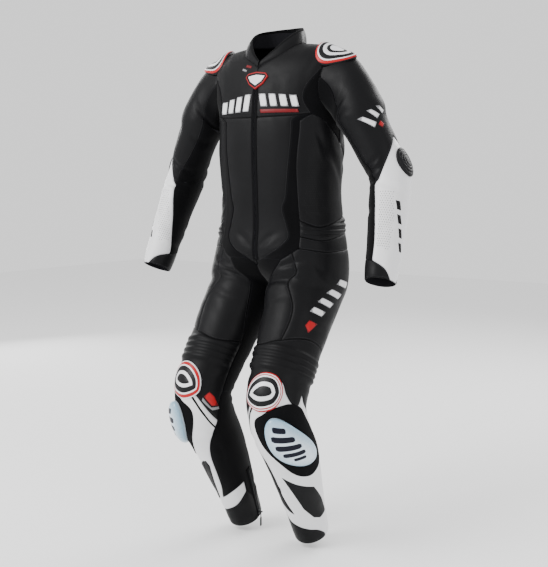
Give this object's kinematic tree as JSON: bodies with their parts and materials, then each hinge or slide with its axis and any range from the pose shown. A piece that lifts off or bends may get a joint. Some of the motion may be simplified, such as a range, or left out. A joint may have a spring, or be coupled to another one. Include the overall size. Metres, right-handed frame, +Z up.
{
  "type": "motorcycle race suit",
  "caption": "One-piece leather motorcycle race suit, hollow as worn, with bent knees, ribbed stretch zones, hard cups and knee sliders.",
  "frame": {"origin": "between the shoulders, level with the base of the neck, where the wearer's shoulders hold the suit up", "axes": "+Z up, the front towards -Y, the wearer's left towards +X"},
  "size_m": [0.8206, 0.3985, 1.4205],
  "materials": {
    "leather": "fine grained, semi-matte, near black",
    "stretch": "matte woven stretch, black",
    "white_leather": "fine grained, semi-matte, white",
    "red_leather": "fine grained, semi-matte, red",
    "hard_shell": "moulded, with red, white and black rings",
    "moulded_base": "matte black",
    "slider_plastic": "satin, ice blue",
    "zip_tape": "woven tape with a coil",
    "tab_metal": "black enamel"
  },
  "bodies": {
    "suit": {"chest_left": "leather", "chest_right": "leather", "armhole_stretch_left": "stretch", "armhole_stretch_right": "stretch", "belly_left": "leather", "belly_right": "leather", "front_band_left": "stretch", "front_band_right": "stretch", "side_left": "leather", "side_right": "leather", "back_left": "leather", "back_right": "leather", "waist_ribs_left": "leather", "waist_ribs_right": "leather", "hip_left": "leather", "hip_right": "leather", "seat_left": "leather", "seat_right": "leather", "thigh_outer_left": "leather", "thigh_outer_right": "leather", "thigh_front_left": "leather", "thigh_front_right": "leather", "inner_thigh_left": "stretch", "inner_thigh_right": "stretch", "knee_ribs_left": "leather", "knee_ribs_right": "leather", "shin_left": "white_leather", "shin_right": "white_leather", "calf_left": "stretch", "calf_right": "stretch", "hem_left": "leather", "hem_right": "leather", "shin_insert_left": "leather", "shin_insert_right": "leather", "slider_base_left": "moulded_base", "slider_base_right": "moulded_base", "knee_slider_left": "slider_plastic", "knee_slider_right": "slider_plastic", "knee_cup_left": "hard_shell", "knee_cup_right": "hard_shell", "sleeve_outer_left": "leather", "sleeve_outer_right": "leather", "sleeve_inner_left": "stretch", "sleeve_inner_right": "stretch", "forearm_left": "white_leather", "forearm_right": "white_leather", "cuff_left": "leather", "cuff_right": "leather", "elbow_pad_left": "moulded_base", "elbow_pad_right": "moulded_base", "shoulder_cup_left": "hard_shell", "shoulder_cup_right": "hard_shell", "ankle_zip_left": "zip_tape", "ankle_zip_right": "zip_tape", "front_zip": "zip_tape", "throat_tab": "red_leather", "collar": "leather"},
    "tab_left": {"pull_tab_left": "tab_metal"},
    "tab_right": {"pull_tab_right": "tab_metal"}
  },
  "joints": [
    {"name": "tab_left_swing", "type": "hinge", "parent": "suit", "child": "tab_left", "pos_m": [0.06151, -0.01825, -1.32254], "axis": [0.1492, 0.9888, 0], "range_deg": [0, 80]},
    {"name": "tab_right_swing", "type": "hinge", "parent": "suit", "child": "tab_right", "pos_m": [-0.06151, -0.01825, -1.32254], "axis": [0.1492, -0.9888, 0], "range_deg": [0, 80]}
  ]
}
